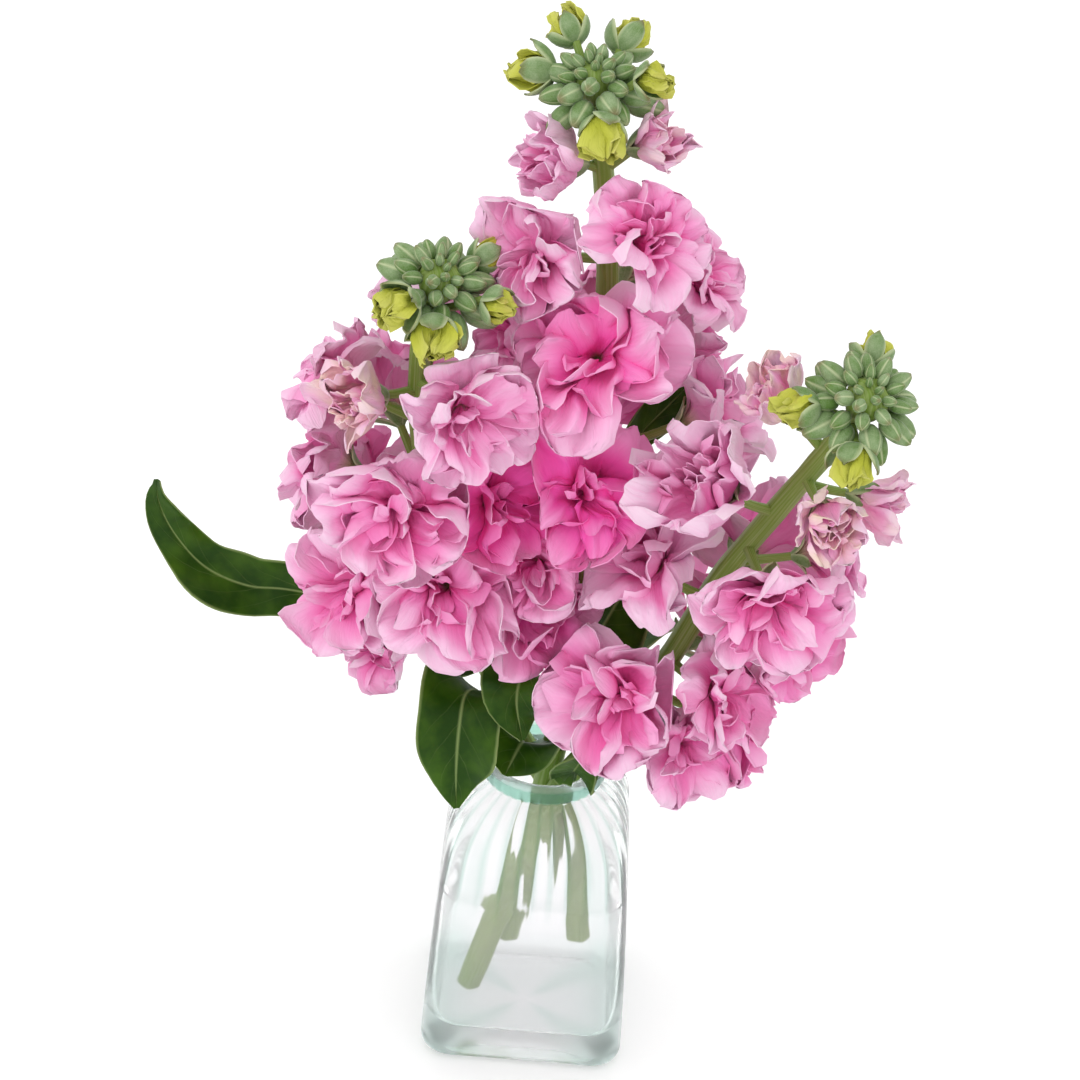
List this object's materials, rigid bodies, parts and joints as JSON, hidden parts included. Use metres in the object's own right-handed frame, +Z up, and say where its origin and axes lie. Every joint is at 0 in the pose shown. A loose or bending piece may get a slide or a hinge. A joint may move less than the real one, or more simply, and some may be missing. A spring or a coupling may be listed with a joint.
{
  "type": "stock flowers in a glass vase",
  "caption": "Cut stems of pink double stock with green bud tips and dark leaves, standing in a small clear square glass vase with some water.",
  "frame": {"origin": "centre of the vase's flat base, on the surface it stands on", "axes": "+Z up along the vase and the tallest flower stem, -Y towards the front of the arrangement, +X to the right of it"},
  "size_m": [0.2441, 0.1323, 0.382],
  "materials": {
    "glass": "polished",
    "water": "polished",
    "stem": "satin",
    "leaf": "satin",
    "petal": "matte",
    "bud": "matte"
  },
  "bodies": {
    "root": {"bud_cluster_centre": "bud", "bud_cluster_left": "bud", "bud_cluster_right": "bud", "floret_centre_a": "petal", "floret_centre_b": "petal", "floret_centre_c": "petal", "floret_centre_d": "petal", "floret_centre_e": "petal", "floret_centre_f": "petal", "floret_centre_g": "petal", "floret_centre_h": "petal", "floret_centre_i": "petal", "floret_centre_j": "petal", "floret_centre_k": "petal", "floret_centre_l": "petal", "floret_left_a": "petal", "floret_left_b": "petal", "floret_left_c": "petal", "floret_left_d": "petal", "floret_left_e": "petal", "floret_left_f": "petal", "floret_left_g": "petal", "floret_left_h": "petal", "floret_left_i": "petal", "floret_left_j": "petal", "floret_left_k": "petal", "floret_left_l": "petal", "floret_right_a": "petal", "floret_right_b": "petal", "floret_right_c": "petal", "floret_right_d": "petal", "floret_right_e": "petal", "floret_right_f": "petal", "floret_right_g": "petal", "floret_right_h": "petal", "floret_right_i": "petal", "floret_right_j": "petal", "half_open_centre_a": "petal", "half_open_centre_b": "petal", "half_open_left_a": "petal", "half_open_right_a": "petal", "half_open_right_b": "petal", "half_open_right_c": "petal", "half_open_right_d": "petal", "leaf_back_left": "leaf", "leaf_back_right": "leaf", "leaf_behind": "leaf", "leaf_collar_front": "leaf", "leaf_collar_left": "leaf", "leaf_collar_mid": "leaf", "leaf_far_left": "leaf", "leaf_gap": "leaf", "leaf_mouth_right": "leaf", "leaf_small_left": "leaf", "stem_centre": "stem", "stem_left": "stem", "stem_right": "stem", "vase": "glass", "water": "water"}
  },
  "joints": []
}
